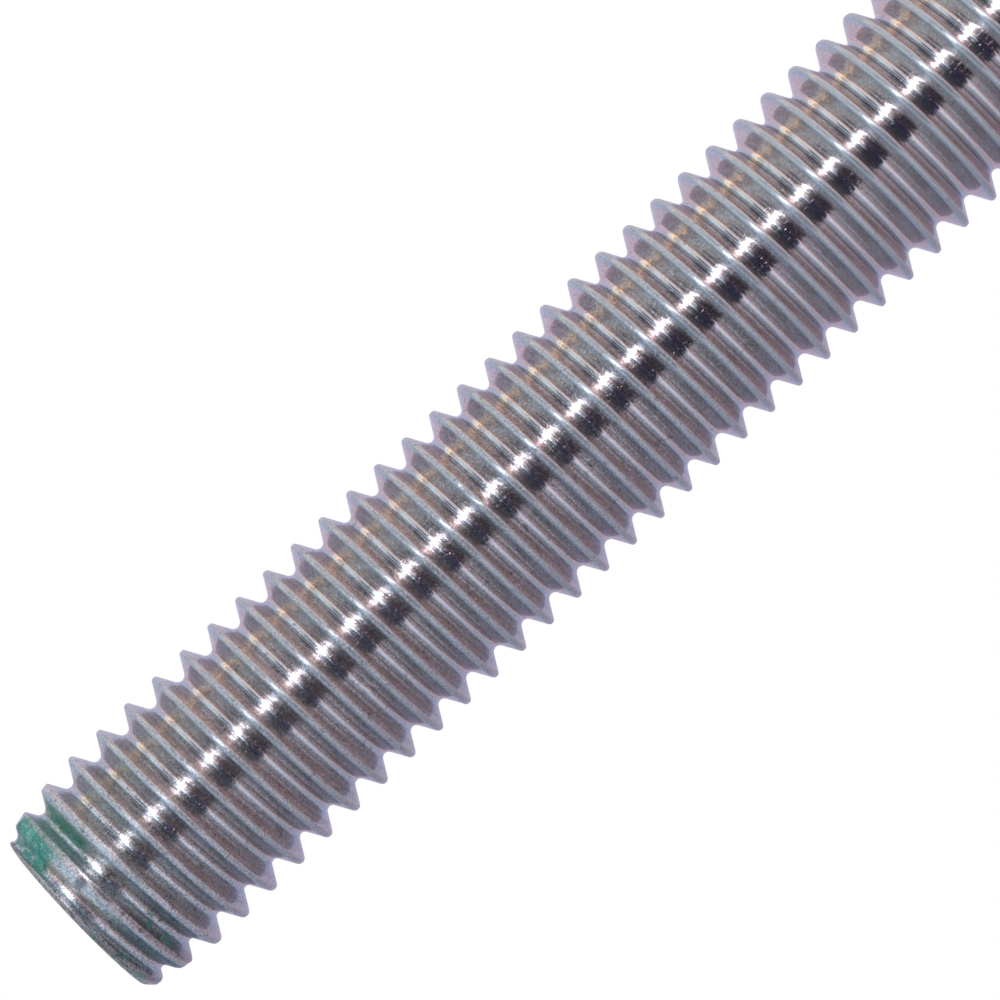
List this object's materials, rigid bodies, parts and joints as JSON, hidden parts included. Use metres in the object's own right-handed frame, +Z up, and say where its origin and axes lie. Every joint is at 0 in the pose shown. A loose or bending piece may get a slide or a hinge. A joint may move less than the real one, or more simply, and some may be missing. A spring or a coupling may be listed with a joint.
{
  "type": "threaded rod",
  "caption": "Straight stainless steel rod with a right-hand metric thread over its whole length, green colour mark at one end.",
  "frame": {"origin": "on the rod's axis, halfway between its two end faces", "axes": "+X along the rod, away from the end with the colour mark; +Z up, with the rod lying level"},
  "size_m": [0.12, 0.0078, 0.0078],
  "materials": {
    "stainless_steel": "rolled stainless steel, satin to bright, with fine pitting and faint turning lines, and remains of green marking paint on the first turns at the -X end"
  },
  "bodies": {
    "root": {"threaded_rod": "stainless_steel"}
  },
  "joints": []
}
